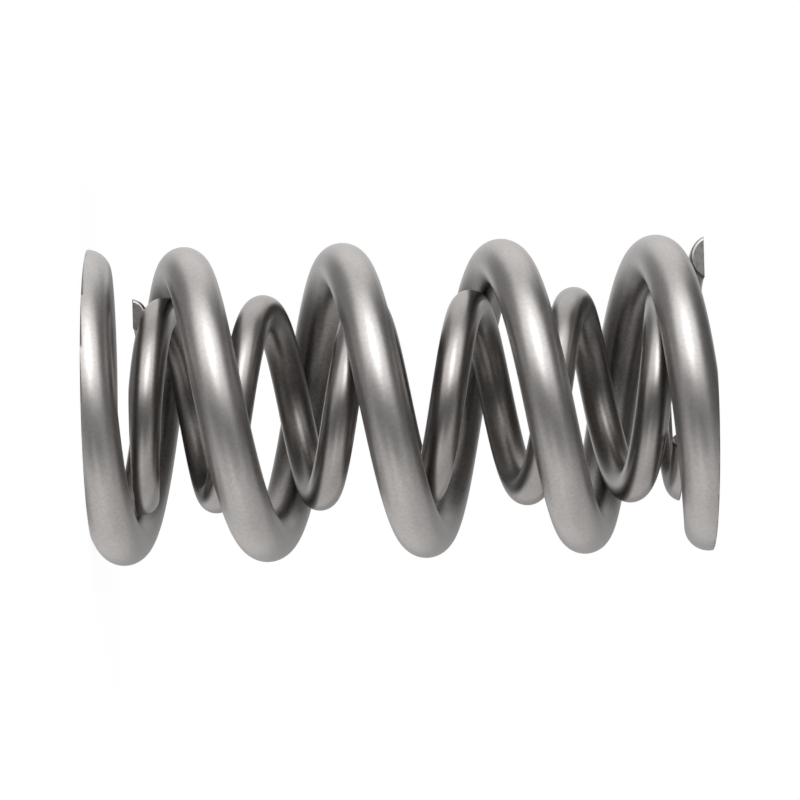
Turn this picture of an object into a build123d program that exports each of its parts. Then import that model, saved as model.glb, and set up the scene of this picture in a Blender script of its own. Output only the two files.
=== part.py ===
from build123d import *
import math
import os

# Nested pair of valve springs for an engine, in millimetres.
# The common axis is Z. The bottom ground face of the outer spring lies on z = 0, with the origin
# at its centre. Both springs are coiled from round wire, closed at the ends and ground flat.

# Outer spring
outer_wire = 4.5
outer_mean_diameter = 25.0
outer_free_length = 57.3
outer_turns = 5.41
outer_start_angle = 30.0

# Inner spring, coiled the other way round so that its turns cannot catch in the outer ones
inner_wire = 3.2
inner_turns = 6.66
inner_start_angle = 178.0
bottom_inset = 3.95
top_inset = 3.0
nesting_clearance = 0.15

# Closed ends. The tip stands off the next turn by the gap, the wire stays close for the dead
# turns, and its pitch then grows over the ramp turns. The tip is ground down to the thickness.
outer_bottom_end = {"gap": 0.05, "dead": 0.12, "ramp": 1.47, "thickness": 1.25}
outer_top_end = {"gap": 1.2, "dead": 0.0, "ramp": 1.38, "thickness": 1.3}
inner_bottom_end = {"gap": 0.05, "dead": 0.05, "ramp": 1.45, "thickness": 1.35}
inner_top_end = {"gap": 0.5, "dead": 0.0, "ramp": 1.42, "thickness": 1.0}

# Edges
bore_chamfer = 0.45
tip_edge_radius = 0.3

# The inner spring runs in the bore of the outer one and ends inside it.
inner_mean_diameter = outer_mean_diameter - outer_wire - inner_wire - 2 * nesting_clearance
inner_free_length = outer_free_length - bottom_inset - top_inset

RIGHT_HAND = 1
LEFT_HAND = -1
POINTS_PER_TURN = 12


def missing_turns(turns, end):
    """Turns of full pitch that a closed end has lost, this many turns from its tip."""
    share = (turns - end["dead"]) / end["ramp"]
    if share <= 0:
        return turns
    if share >= 1:
        return end["dead"] + end["ramp"] / 2
    grown = end["ramp"] * (share / 2 - math.sin(math.pi * share) / (2 * math.pi))
    return turns - grown


def wire_heights(wire, free_length, turns, bottom_end, top_end):
    """A function that gives the height of the wire's centre after a number of turns."""
    bottom_height = bottom_end["thickness"] - wire / 2
    top_height = free_length - top_end["thickness"] + wire / 2
    first_rise = wire + bottom_end["gap"]
    last_rise = wire + top_end["gap"]

    # The pitch lost at each end makes its first turn rise by the wire and the gap only.
    bottom_share = missing_turns(turns, bottom_end) / missing_turns(1, bottom_end)
    top_share = missing_turns(turns, top_end) / missing_turns(1, top_end)
    climb = top_height - bottom_height
    pitch = (climb - first_rise * bottom_share - last_rise * top_share) / (turns - bottom_share - top_share)
    bottom_loss = (pitch - first_rise) / missing_turns(1, bottom_end)
    top_loss = (pitch - last_rise) / missing_turns(1, top_end)

    def height(turn):
        from_bottom = missing_turns(turn, bottom_end)
        from_top = missing_turns(turns, top_end) - missing_turns(turns - turn, top_end)
        return bottom_height + pitch * turn - bottom_loss * from_bottom - top_loss * from_top

    return height


def wire_points(mean_diameter, wire, free_length, turns, start_angle, hand, bottom_end, top_end):
    """Points along the wire's centre line, evenly spaced in angle."""
    height = wire_heights(wire, free_length, turns, bottom_end, top_end)
    steps = math.ceil(turns * POINTS_PER_TURN)
    points = []
    for step in range(steps + 1):
        turn = turns * step / steps
        angle = math.radians(start_angle + hand * 360 * turn)
        radius = mean_diameter / 2
        points.append((radius * math.cos(angle), radius * math.sin(angle), height(turn)))
    return points


def coil_spring(mean_diameter, wire, free_length, turns, start_angle, hand, bottom_end, top_end):
    """A round-wire compression spring with closed and ground ends, standing on z = 0."""
    points = wire_points(mean_diameter, wire, free_length, turns, start_angle, hand, bottom_end, top_end)
    bore_radius = (mean_diameter - wire) / 2
    with BuildPart() as spring:
        with BuildLine() as centre_line:
            Spline(*points)
        with BuildSketch(centre_line.line ^ 0):
            Circle(wire / 2)
        sweep()
        fillet(spring.faces().filter_by(GeomType.PLANE).edges(), tip_edge_radius)
        split(bisect_by=Plane.XY, keep=Keep.TOP)
        split(bisect_by=Plane.XY.offset(free_length), keep=Keep.BOTTOM)
        with BuildSketch(Plane.XZ):
            for end_height, inward in ((0, 1), (free_length, -1)):
                with BuildLine():
                    Polyline(
                        (0, end_height),
                        (bore_radius + bore_chamfer, end_height),
                        (0, end_height + inward * (bore_radius + bore_chamfer)),
                        close=True,
                    )
                make_face()
        revolve(axis=Axis.Z, mode=Mode.SUBTRACT)
    return spring.part


os.makedirs("parts", exist_ok=True)

with BuildPart() as outer_spring:
    add(
        coil_spring(
            outer_mean_diameter,
            outer_wire,
            outer_free_length,
            outer_turns,
            outer_start_angle,
            RIGHT_HAND,
            outer_bottom_end,
            outer_top_end,
        )
    )
outer_spring.part.label = "outer_spring"
export_step(outer_spring.part, "parts/outer_spring.step")

with BuildPart() as inner_spring:
    with Locations((0, 0, bottom_inset)):
        add(
            coil_spring(
                inner_mean_diameter,
                inner_wire,
                inner_free_length,
                inner_turns,
                inner_start_angle,
                LEFT_HAND,
                inner_bottom_end,
                inner_top_end,
            )
        )
inner_spring.part.label = "inner_spring"
export_step(inner_spring.part, "parts/inner_spring.step")
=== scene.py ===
import bmesh
import bpy
import math
from mathutils import Matrix, Vector


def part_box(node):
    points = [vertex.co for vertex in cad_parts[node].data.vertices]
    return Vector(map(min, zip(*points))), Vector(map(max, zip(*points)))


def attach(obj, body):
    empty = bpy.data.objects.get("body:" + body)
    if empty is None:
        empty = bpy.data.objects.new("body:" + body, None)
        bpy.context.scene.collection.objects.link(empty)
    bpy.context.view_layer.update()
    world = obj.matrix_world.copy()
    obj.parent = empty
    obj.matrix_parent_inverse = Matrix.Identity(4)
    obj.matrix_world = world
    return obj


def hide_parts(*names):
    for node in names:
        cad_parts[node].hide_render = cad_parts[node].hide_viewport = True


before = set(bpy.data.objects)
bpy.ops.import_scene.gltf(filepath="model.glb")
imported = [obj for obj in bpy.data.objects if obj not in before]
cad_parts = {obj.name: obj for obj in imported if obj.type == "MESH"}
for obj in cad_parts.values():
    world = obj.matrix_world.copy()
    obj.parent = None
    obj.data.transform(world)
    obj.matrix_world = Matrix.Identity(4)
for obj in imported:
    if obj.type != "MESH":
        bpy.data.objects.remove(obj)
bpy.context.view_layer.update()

# A nested pair of engine valve springs, in metres. They stand on z = 0 with their common axis on Z.
# Both are coiled from round wire, shot peened, closed at the ends and ground flat there.
MM = 0.001

# Outer spring
OUTER_WIRE = 4.5 * MM
OUTER_TURNS = 5.41
OUTER_START_ANGLE = math.radians(30)

# Inner spring, coiled the other way round
INNER_WIRE = 3.2 * MM
INNER_TURNS = 6.66
INNER_START_ANGLE = math.radians(178)

RIGHT_HAND = 1
LEFT_HAND = -1

# Closed ends. The tip stands off the next turn by the gap, the wire stays close for the dead
# turns, and its pitch then grows over the ramp turns. The tip is ground down to the thickness.
OUTER_BOTTOM_END = {"gap": 0.05 * MM, "dead": 0.12, "ramp": 1.47, "thickness": 1.25 * MM}
OUTER_TOP_END = {"gap": 1.2 * MM, "dead": 0.0, "ramp": 1.38, "thickness": 1.3 * MM}
INNER_BOTTOM_END = {"gap": 0.05 * MM, "dead": 0.05, "ramp": 1.45, "thickness": 1.35 * MM}
INNER_TOP_END = {"gap": 0.5 * MM, "dead": 0.0, "ramp": 1.42, "thickness": 1.0 * MM}

# Edges
BORE_CHAMFER = 0.45 * MM
TIP_EDGE_RADIUS = 0.3 * MM

# Fineness of the meshes
SECTION_SIDES = 48
STEPS_PER_TURN = 112
TIP_SEGMENTS = 6
CHAMFER_SIDES = 240
FLOOR_SIDES = 128
CARD_SIDES = 64

# How close to the grinding plane a point lies on it
ON_PLANE = 0.0005 * MM

# Part of a turn, to either side, over which the wire's slope is taken
SLOPE_TURN = 0.0001

# Places of the finishes in a spring's list of materials
WIRE_FINISH = 0
GROUND_FINISH = 1
TIP_FINISH = 2

# Shot-peened wire: its colour on the coil's side away from the axis and on the side towards it,
# and its roughness on the outer side. The darker colour towards the axis is painted shade. The
# inner spring's colours are darker still, painted shade from the outer spring round it, and it is
# glossier.
OUTER_SPRING_STEEL_AND_SHADE = {
    "away": (0.465, 0.445, 0.434),
    "towards": (0.206, 0.192, 0.183),
    "roughness": 0.37,
}
INNER_SPRING_STEEL_AND_SHADE = {
    "away": (0.35, 0.332, 0.32),
    "towards": (0.172, 0.159, 0.15),
    "roughness": 0.31,
}
INNER_SIDE_ROUGHNESS = 0.38

# The inner side's painted shade and its roughness turn into the outer side's between these distances
# from the wire's centre, outwards from the axis and in diameters of the wire.
SIDE_LIMITS = (-0.38, 0.02)

# Ranges of what the side's painted shade, the patches and the dimples add to the share of the paler
# colour, and of what the patches add to the roughness
SIDE_SHADE_TONE = (0.0, 0.8)
PATCH_TONE = (0.0, 0.1)
DIMPLE_TONE = (-0.04, 0.15)
PATCH_ROUGHNESS = (-0.02, 0.02)
PATCHES_PER_METRE = 260
DIMPLES_PER_METRE = 3400
DIMPLE_DEPTH = 0.0022 * MM

# Ground faces: bare steel with the wheel's marks, which run along Y
GROUND_COLOR = (0.54, 0.525, 0.51)
GROUND_MARK_COLOR = (0.42, 0.405, 0.39)
GROUND_TONE = (0.2, 1.0)
GROUND_ROUGHNESS = (0.28, 0.38)
GROUND_PATCHES_PER_METRE = 300
GROUND_MARKS_PER_METRE = 6000
GROUND_MARK_STRETCH = (1, 0.04, 0.2)
GROUND_MARK_DEPTH = 0.0015 * MM

# The wire's cut tips: dull steel with a torn grain
TIP_COLOR = (0.25, 0.24, 0.235)
TIP_GRAIN_COLOR = (0.18, 0.172, 0.168)
TIP_TONE = (0.0, 1.0)
TIP_ROUGHNESS = (0.45, 0.55)
TIP_GRAINS_PER_METRE = 2500
TIP_GRAIN_DEPTH = 0.003 * MM

# The middle range of a noise, where most of its values lie
NOISE_LIMITS = (0.3, 0.7)

# The colour sockets of a Mix node, whose other types use the same names
MIX_FIRST = 6
MIX_SECOND = 7
MIX_RESULT = 2

# Camera, at the photograph's angle: it looks along +Y with +Z to its right, and the springs'
# axis rises a little to the right. It sees what is this many times nearer or farther.
CAMERA_DISTANCE = 393.8 * MM
CAMERA_LENS = 190.5
CAMERA_AIM_HEIGHT = 28.63 * MM
CAMERA_ROLL = math.radians(1.51)
CAMERA_REACH = 100

# Floor: how white it is to the camera, and the share of that white in what the camera sees. The
# rest is the lit floor, with the springs' shadow on it.
FLOOR_RADIUS = 0.6
FLOOR_COLOR = (0.9, 0.9, 0.9, 1)
FLOOR_ROUGHNESS = 0.9
FLOOR_WHITE = 1.18
FLOOR_WHITE_SHARE = 0.75

# Studio cards round the springs, in a plain white room: elevation and azimuth in degrees, half
# width and half height for a distance of 1, the share with full cover before the edge fades, and
# light level. They are placed as the photograph sees them, with -X up and +Z to the right, and
# the azimuth counted from the camera to the right. The room's own level is 1. Each card stands
# nearer than the one before it by the gap, to cover it where they overlap.
ROOM_COLOR = (1, 1, 1, 1)
CARD_DISTANCE = 0.6
CARD_GAP = 0.018
STUDIO_CARDS = (
    ("back_softbox", 57, 177, 0.83, 0.46, 0.37, 1.3),
    ("overhead_softbox", 44, 4, 1.53, 0.77, 0.65, 1.85),
    ("right_flag", 12, 95, 1.42, 2.00, 0.47, 0.13),
    ("left_flag", 8, -104, 1.02, 1.40, 0.78, 0.32),
    ("front_flag", -15, -5, 2.67, 0.95, 0.21, 0.23),
    ("key_softbox", 38, 1, 0.32, 0.65, 0.02, 5.6),
    ("low_flag", -44, 99, 0.99, 1.39, 0.02, 0.72),
    ("back_flag", -16, 166, 0.78, 0.57, 0.79, 0.5),
    ("low_left_strip", -19, -101, 0.19, 0.27, 0.57, 1.7),
    ("low_front_strip", -51, -10, 0.15, 0.66, 0.43, 1.3),
)


def missing_turns(turns, end):
    """Turns of full pitch that a closed end has lost, this many turns from its tip."""
    share = (turns - end["dead"]) / end["ramp"]
    if share <= 0:
        return turns
    if share >= 1:
        return end["dead"] + end["ramp"] / 2
    grown = end["ramp"] * (share / 2 - math.sin(math.pi * share) / math.tau)
    return turns - grown


class Coil:
    """The course of a spring's wire, with its length and diameter taken from the solid."""

    def __init__(self, node, wire, turns, start_angle, hand, bottom_end, top_end):
        low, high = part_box(node)
        self.node = node
        self.wire = wire
        self.turns = turns
        self.start_angle = start_angle
        self.hand = hand
        self.bottom_end = bottom_end
        self.top_end = top_end
        self.bottom = low.z
        self.top = high.z
        self.mean_diameter = high.x - low.x - wire

        # The pitch lost at each end makes its first turn rise by the wire and the gap only.
        first_rise = wire + bottom_end["gap"]
        last_rise = wire + top_end["gap"]
        bottom_share = missing_turns(turns, bottom_end) / missing_turns(1, bottom_end)
        top_share = missing_turns(turns, top_end) / missing_turns(1, top_end)
        self.first_height = low.z + bottom_end["thickness"] - wire / 2
        climb = high.z - top_end["thickness"] + wire / 2 - self.first_height
        full_turns = turns - bottom_share - top_share
        self.pitch = (climb - first_rise * bottom_share - last_rise * top_share) / full_turns
        self.bottom_loss = (self.pitch - first_rise) / missing_turns(1, bottom_end)
        self.top_loss = (self.pitch - last_rise) / missing_turns(1, top_end)
        self.wire_length = math.hypot(math.pi * self.mean_diameter * turns, climb)

    def height(self, turn):
        """Height of the wire's centre after a number of turns."""
        to_top = self.turns - turn
        from_bottom = missing_turns(turn, self.bottom_end)
        from_top = missing_turns(self.turns, self.top_end) - missing_turns(to_top, self.top_end)
        lost = self.bottom_loss * from_bottom + self.top_loss * from_top
        return self.first_height + self.pitch * turn - lost

    def station(self, turn):
        """The place of the wire's section after some turns, its X outwards and Z along the wire."""
        angle = self.start_angle + self.hand * math.tau * turn
        outwards = Vector((math.cos(angle), math.sin(angle), 0))
        onwards = self.hand * Vector((-math.sin(angle), math.cos(angle), 0))
        rise = (self.height(turn + SLOPE_TURN) - self.height(turn - SLOPE_TURN)) / (2 * SLOPE_TURN)
        along = (onwards * math.pi * self.mean_diameter + Vector((0, 0, rise))).normalized()
        across = along.cross(outwards)
        centre = outwards * self.mean_diameter / 2 + Vector((0, 0, self.height(turn)))
        facing = Matrix((outwards, across, along)).transposed().to_4x4()
        return Matrix.Translation(centre) @ facing


def straight_wire(coil):
    """A cut length of wire along Z, in short steps, with the edges of its two tips rounded."""
    bm = bmesh.new()
    bmesh.ops.create_cone(
        bm,
        cap_ends=True,
        segments=SECTION_SIDES,
        radius1=coil.wire / 2,
        radius2=coil.wire / 2,
        depth=coil.wire_length,
        matrix=Matrix.Translation((0, 0, coil.wire_length / 2)),
    )
    caps = [face for face in bm.faces if len(face.verts) == SECTION_SIDES]
    cut_edges = [edge for cap in caps for edge in cap.edges]
    side_edges = [edge for edge in bm.edges if edge not in cut_edges]
    steps = math.ceil(coil.turns * STEPS_PER_TURN)
    bmesh.ops.subdivide_edges(bm, edges=side_edges, cuts=steps - 1, use_grid_fill=True)
    bmesh.ops.bevel(
        bm,
        geom=cut_edges,
        offset=TIP_EDGE_RADIUS,
        offset_type="OFFSET",
        affect="EDGES",
        segments=TIP_SEGMENTS,
        profile=0.5,
        material=-1,
    )
    for face in bm.faces:
        is_cut = len(face.verts) >= SECTION_SIDES
        face.smooth = not is_cut
        face.material_index = TIP_FINISH if is_cut else WIRE_FINISH
    return bm


def coil_up(bm, coil):
    """Bends the straight wire round the axis. An attribute keeps each point's place on the wire."""
    on_wire = bm.verts.layers.float_vector.new("on_wire")
    for vert in bm.verts:
        vert[on_wire] = vert.co
        turn = coil.turns * vert.co.z / coil.wire_length
        vert.co = coil.station(turn) @ Vector((vert.co.x, vert.co.y, 0))


def grind_end(bm, height, outwards):
    """Grinds the coil off flat at a height and closes the ground face."""
    cut = bmesh.ops.bisect_plane(
        bm,
        geom=bm.verts[:] + bm.edges[:] + bm.faces[:],
        dist=ON_PLANE,
        plane_co=(0, 0, height),
        plane_no=(0, 0, outwards),
        clear_outer=True,
    )
    rim = [item for item in cut["geom_cut"] if isinstance(item, bmesh.types.BMEdge)]
    bmesh.ops.edgeloop_fill(bm, edges=rim, mat_nr=GROUND_FINISH, use_smooth=False)


def mesh_object(name, bm, finishes):
    """A scene object made from a bmesh, which is freed."""
    bmesh.ops.recalc_face_normals(bm, faces=bm.faces)
    mesh = bpy.data.meshes.new(name)
    for finish in finishes:
        mesh.materials.append(finish)
    bm.to_mesh(mesh)
    bm.free()
    piece = bpy.data.objects.new(name, mesh)
    bpy.context.scene.collection.objects.link(piece)
    return piece


def chamfer_cone(coil, height, outwards, finishes):
    """A cone of 45 degrees on the axis, which breaks the bore's edge at one ground face."""
    mouth = (coil.mean_diameter - coil.wire) / 2 + BORE_CHAMFER
    spare = coil.wire
    length = mouth + spare
    bm = bmesh.new()
    bmesh.ops.create_cone(
        bm,
        cap_ends=True,
        segments=CHAMFER_SIDES,
        radius1=length,
        radius2=0,
        depth=length,
        matrix=Matrix.Translation((0, 0, length / 2 - spare)),
    )
    for face in bm.faces:
        face.material_index = GROUND_FINISH
    if outwards > 0:
        bmesh.ops.scale(bm, vec=(1, 1, -1), verts=bm.verts)
    bmesh.ops.translate(bm, vec=(0, 0, height), verts=bm.verts)
    return mesh_object("chamfer_cone", bm, finishes)


def cut_with(piece, cutter):
    """Cuts one object from another, leaves a plain mesh and removes the cutter."""
    boolean = piece.modifiers.new("cut", "BOOLEAN")
    boolean.operation = "DIFFERENCE"
    boolean.solver = "MANIFOLD"
    boolean.object = cutter
    depsgraph = bpy.context.evaluated_depsgraph_get()
    finished = bpy.data.meshes.new_from_object(
        piece.evaluated_get(depsgraph), preserve_all_data_layers=True, depsgraph=depsgraph
    )
    piece.modifiers.clear()
    piece.data = finished
    bpy.data.objects.remove(cutter)


def coil_spring(name, coil, finishes):
    """A finished spring: coiled, tips rounded, ends ground flat and the bore's edges chamfered."""
    bm = straight_wire(coil)
    coil_up(bm, coil)
    ends = ((coil.bottom, -1), (coil.top, 1))
    for height, outwards in ends:
        grind_end(bm, height, outwards)
    spring = mesh_object(name, bm, finishes)
    for height, outwards in ends:
        cut_with(spring, chamfer_cone(coil, height, outwards, finishes))
    return spring


def new_material(name):
    """A node material, with its node tree and its Principled shader."""
    material = bpy.data.materials.new(name)
    material.use_nodes = True
    return material, material.node_tree, material.node_tree.nodes["Principled BSDF"]


def new_steel(name):
    """A metal material, with its node tree, its shader and the coordinates for its patterns."""
    material, tree, shader = new_material(name)
    shader.inputs["Metallic"].default_value = 1.0
    return material, tree, shader, tree.nodes.new("ShaderNodeTexCoord").outputs["Object"]


def add_noise(tree, coordinates, scale, detail, stretch=(1, 1, 1)):
    """Noise on coordinates, which may be stretched along their axes first."""
    mapping = tree.nodes.new("ShaderNodeMapping")
    mapping.inputs["Scale"].default_value = stretch
    noise = tree.nodes.new("ShaderNodeTexNoise")
    noise.inputs["Scale"].default_value = scale
    noise.inputs["Detail"].default_value = detail
    tree.links.new(coordinates, mapping.inputs["Vector"])
    tree.links.new(mapping.outputs["Vector"], noise.inputs["Vector"])
    return noise.outputs["Fac"]


def spread(tree, value, results, limits=NOISE_LIMITS):
    """A value that lies between two limits, spread smoothly over a range of results."""
    share = tree.nodes.new("ShaderNodeMapRange")
    share.interpolation_type = "SMOOTHSTEP"
    share.inputs["From Min"].default_value = limits[0]
    share.inputs["From Max"].default_value = limits[1]
    share.inputs["To Min"].default_value = results[0]
    share.inputs["To Max"].default_value = results[1]
    tree.links.new(value, share.inputs["Value"])
    return share.outputs["Result"]


def total(tree, first, second):
    """The sum of two values."""
    adder = tree.nodes.new("ShaderNodeMath")
    tree.links.new(first, adder.inputs[0])
    tree.links.new(second, adder.inputs[1])
    return adder.outputs["Value"]


def color_between(tree, shader, share, first, second):
    """Gives the shader a colour between two others."""
    mix = tree.nodes.new("ShaderNodeMix")
    mix.data_type = "RGBA"
    mix.inputs[MIX_FIRST].default_value = (*first, 1)
    mix.inputs[MIX_SECOND].default_value = (*second, 1)
    tree.links.new(share, mix.inputs["Factor"])
    tree.links.new(mix.outputs[MIX_RESULT], shader.inputs["Base Color"])


def add_bump(tree, shader, height, depth):
    """Gives the shader fine relief of a given depth."""
    bump = tree.nodes.new("ShaderNodeBump")
    bump.inputs["Strength"].default_value = 1.0
    bump.inputs["Distance"].default_value = depth
    tree.links.new(height, bump.inputs["Height"])
    tree.links.new(bump.outputs["Normal"], shader.inputs["Normal"])


def peened_steel(name, wire, steel):
    """Shot-peened spring wire: satin grey steel with a fine, even grain, and painted shade on the
    coil's inner side.
    """
    material, tree, shader, coordinates = new_steel(name)
    on_wire = tree.nodes.new("ShaderNodeAttribute")
    on_wire.attribute_name = "on_wire"
    section = tree.nodes.new("ShaderNodeSeparateXYZ")
    tree.links.new(on_wire.outputs["Vector"], section.inputs["Vector"])
    outwards = section.outputs["X"]
    side_limits = [wire * limit for limit in SIDE_LIMITS]

    # The coil's inner side is painted darker, as shade, and is duller, as the shot reaches it less.
    # There are patches of slightly different tone and gloss too, and a grain from the dimples.
    patches = add_noise(tree, coordinates, PATCHES_PER_METRE, detail=3)
    dimples = add_noise(tree, coordinates, DIMPLES_PER_METRE, detail=2)
    marks = total(tree, spread(tree, patches, PATCH_TONE), spread(tree, dimples, DIMPLE_TONE))
    tone = total(tree, spread(tree, outwards, SIDE_SHADE_TONE, side_limits), marks)
    color_between(tree, shader, tone, steel["towards"], steel["away"])
    rough = spread(tree, outwards, (INNER_SIDE_ROUGHNESS, steel["roughness"]), side_limits)
    rough = total(tree, rough, spread(tree, patches, PATCH_ROUGHNESS))
    tree.links.new(rough, shader.inputs["Roughness"])
    add_bump(tree, shader, dimples, DIMPLE_DEPTH)
    return material


def ground_steel():
    """End faces ground flat: bare steel with fine marks of the wheel."""
    material, tree, shader, coordinates = new_steel("ground_end_face")
    marks = add_noise(tree, coordinates, GROUND_MARKS_PER_METRE, detail=2, stretch=GROUND_MARK_STRETCH)
    patches = add_noise(tree, coordinates, GROUND_PATCHES_PER_METRE, detail=2)
    color_between(tree, shader, spread(tree, marks, GROUND_TONE), GROUND_MARK_COLOR, GROUND_COLOR)
    tree.links.new(spread(tree, patches, GROUND_ROUGHNESS), shader.inputs["Roughness"])
    add_bump(tree, shader, marks, GROUND_MARK_DEPTH)
    return material


def cut_steel():
    """The wire's tips, cut off square before coiling: dull steel with a torn grain."""
    material, tree, shader, coordinates = new_steel("cut_tip_face")
    grain = add_noise(tree, coordinates, TIP_GRAINS_PER_METRE, detail=3)
    color_between(tree, shader, spread(tree, grain, TIP_TONE), TIP_GRAIN_COLOR, TIP_COLOR)
    tree.links.new(spread(tree, grain, TIP_ROUGHNESS), shader.inputs["Roughness"])
    add_bump(tree, shader, grain, TIP_GRAIN_DEPTH)
    return material


def show_mix(tree, share, first, second):
    """Puts a mix of two shaders on the material's surface."""
    mix = tree.nodes.new("ShaderNodeMixShader")
    tree.links.new(share, mix.inputs["Fac"])
    tree.links.new(first, mix.inputs[1])
    tree.links.new(second, mix.inputs[2])
    tree.links.new(mix.outputs["Shader"], tree.nodes["Material Output"].inputs["Surface"])


def round_sheet(name, radius, sides, material):
    """A flat round sheet about the origin."""
    bm = bmesh.new()
    bmesh.ops.create_circle(bm, cap_ends=True, radius=radius, segments=sides)
    return mesh_object(name, bm, [material])


def stand_camera():
    """The camera at the photograph's viewing angle."""
    camera = bpy.data.objects.new("camera", bpy.data.cameras.new("camera"))
    camera.data.lens = CAMERA_LENS
    camera.data.clip_start = CAMERA_DISTANCE / CAMERA_REACH
    camera.data.clip_end = CAMERA_DISTANCE * CAMERA_REACH
    right, up, back = Vector((0, 0, 1)), Vector((-1, 0, 0)), Vector((0, -1, 0))
    facing = Matrix((right, up, back)).transposed().to_4x4()
    aim = Matrix.Translation((0, 0, CAMERA_AIM_HEIGHT)) @ Matrix.Rotation(CAMERA_ROLL, 4, "Y")
    camera.matrix_world = aim @ Matrix.Translation(back * CAMERA_DISTANCE) @ facing
    bpy.context.scene.collection.objects.link(camera)
    bpy.context.scene.camera = camera


def lay_floor():
    """A plain pale floor, white to the camera, which keeps a trace of the springs' shadow."""
    material, tree, shader = new_material("pale_floor")
    shader.inputs["Base Color"].default_value = FLOOR_COLOR
    shader.inputs["Roughness"].default_value = FLOOR_ROUGHNESS
    white = tree.nodes.new("ShaderNodeEmission")
    white.inputs["Strength"].default_value = FLOOR_WHITE
    path = tree.nodes.new("ShaderNodeLightPath")
    share = tree.nodes.new("ShaderNodeMath")
    share.operation = "MULTIPLY"
    share.inputs[1].default_value = FLOOR_WHITE_SHARE
    tree.links.new(path.outputs["Is Camera Ray"], share.inputs[0])
    show_mix(tree, share.outputs["Value"], shader.outputs["BSDF"], white.outputs["Emission"])
    floor = round_sheet("floor", FLOOR_RADIUS, FLOOR_SIDES, material)
    # Reflections pass the floor and show the white room and the cards behind it.
    floor.visible_glossy = False


def card_material(name, hard_share, level):
    """Glowing cloth or dark felt, whose edge fades away."""
    material, tree, shader = new_material(name)
    tree.nodes.remove(shader)
    coordinates = tree.nodes.new("ShaderNodeTexCoord").outputs["Object"]
    radius = tree.nodes.new("ShaderNodeVectorMath")
    radius.operation = "LENGTH"
    tree.links.new(coordinates, radius.inputs[0])
    cover = spread(tree, radius.outputs["Value"], (0.0, 1.0), (1.0, hard_share))
    clear = tree.nodes.new("ShaderNodeBsdfTransparent")
    glow = tree.nodes.new("ShaderNodeEmission")
    glow.inputs["Strength"].default_value = level
    show_mix(tree, cover, clear.outputs["BSDF"], glow.outputs["Emission"])
    return material


def stand_card(name, elevation, azimuth, half_width, half_height, hard_share, level, distance):
    """A round card with a soft edge, turned to the springs. The camera doesn't see it."""
    elevation, azimuth = math.radians(elevation), math.radians(azimuth)
    across = Vector((0, math.sin(azimuth), math.cos(azimuth)))
    towards = Vector((
        -math.sin(elevation),
        -math.cos(elevation) * math.cos(azimuth),
        math.cos(elevation) * math.sin(azimuth),
    ))
    facing = Matrix((across, across.cross(towards), towards)).transposed().to_4x4()
    size = Matrix.Diagonal((half_width * distance, half_height * distance, 1, 1))
    place = Matrix.Translation(Vector((0, 0, CAMERA_AIM_HEIGHT)) + towards * distance)
    card = round_sheet(name, 1, CARD_SIDES, card_material(name, hard_share, level))
    card.matrix_world = place @ facing @ size
    card.visible_camera = False


def light_studio():
    """A plain white room with soft cards, lit and dark ones, round the springs."""
    world = bpy.data.worlds.new("studio")
    world.use_nodes = True
    world.node_tree.nodes["Background"].inputs["Color"].default_value = ROOM_COLOR
    bpy.context.scene.world = world
    for number, card in enumerate(STUDIO_CARDS):
        stand_card(*card, CARD_DISTANCE - CARD_GAP * number)


outer_coil = Coil(
    "outer_spring",
    OUTER_WIRE,
    OUTER_TURNS,
    OUTER_START_ANGLE,
    RIGHT_HAND,
    OUTER_BOTTOM_END,
    OUTER_TOP_END,
)
inner_coil = Coil(
    "inner_spring",
    INNER_WIRE,
    INNER_TURNS,
    INNER_START_ANGLE,
    LEFT_HAND,
    INNER_BOTTOM_END,
    INNER_TOP_END,
)
ground_finish = ground_steel()
tip_finish = cut_steel()
outer_wire_steel_and_shade = peened_steel("outer_spring_wire", OUTER_WIRE, OUTER_SPRING_STEEL_AND_SHADE)
# The inner spring's colours are painted darker than the outer's, as shade from the outer spring round
# it.
inner_wire_steel_and_shade = peened_steel("inner_spring_wire", INNER_WIRE, INNER_SPRING_STEEL_AND_SHADE)
for name, coil, wire_steel_and_shade in (
    ("outer_valve_spring", outer_coil, outer_wire_steel_and_shade),
    ("inner_valve_spring", inner_coil, inner_wire_steel_and_shade),
):
    spring = coil_spring(name, coil, [wire_steel_and_shade, ground_finish, tip_finish])
    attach(spring, "root")
    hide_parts(coil.node)

stand_camera()
lay_floor()
light_studio()
bpy.context.scene.view_settings.view_transform = "Standard"
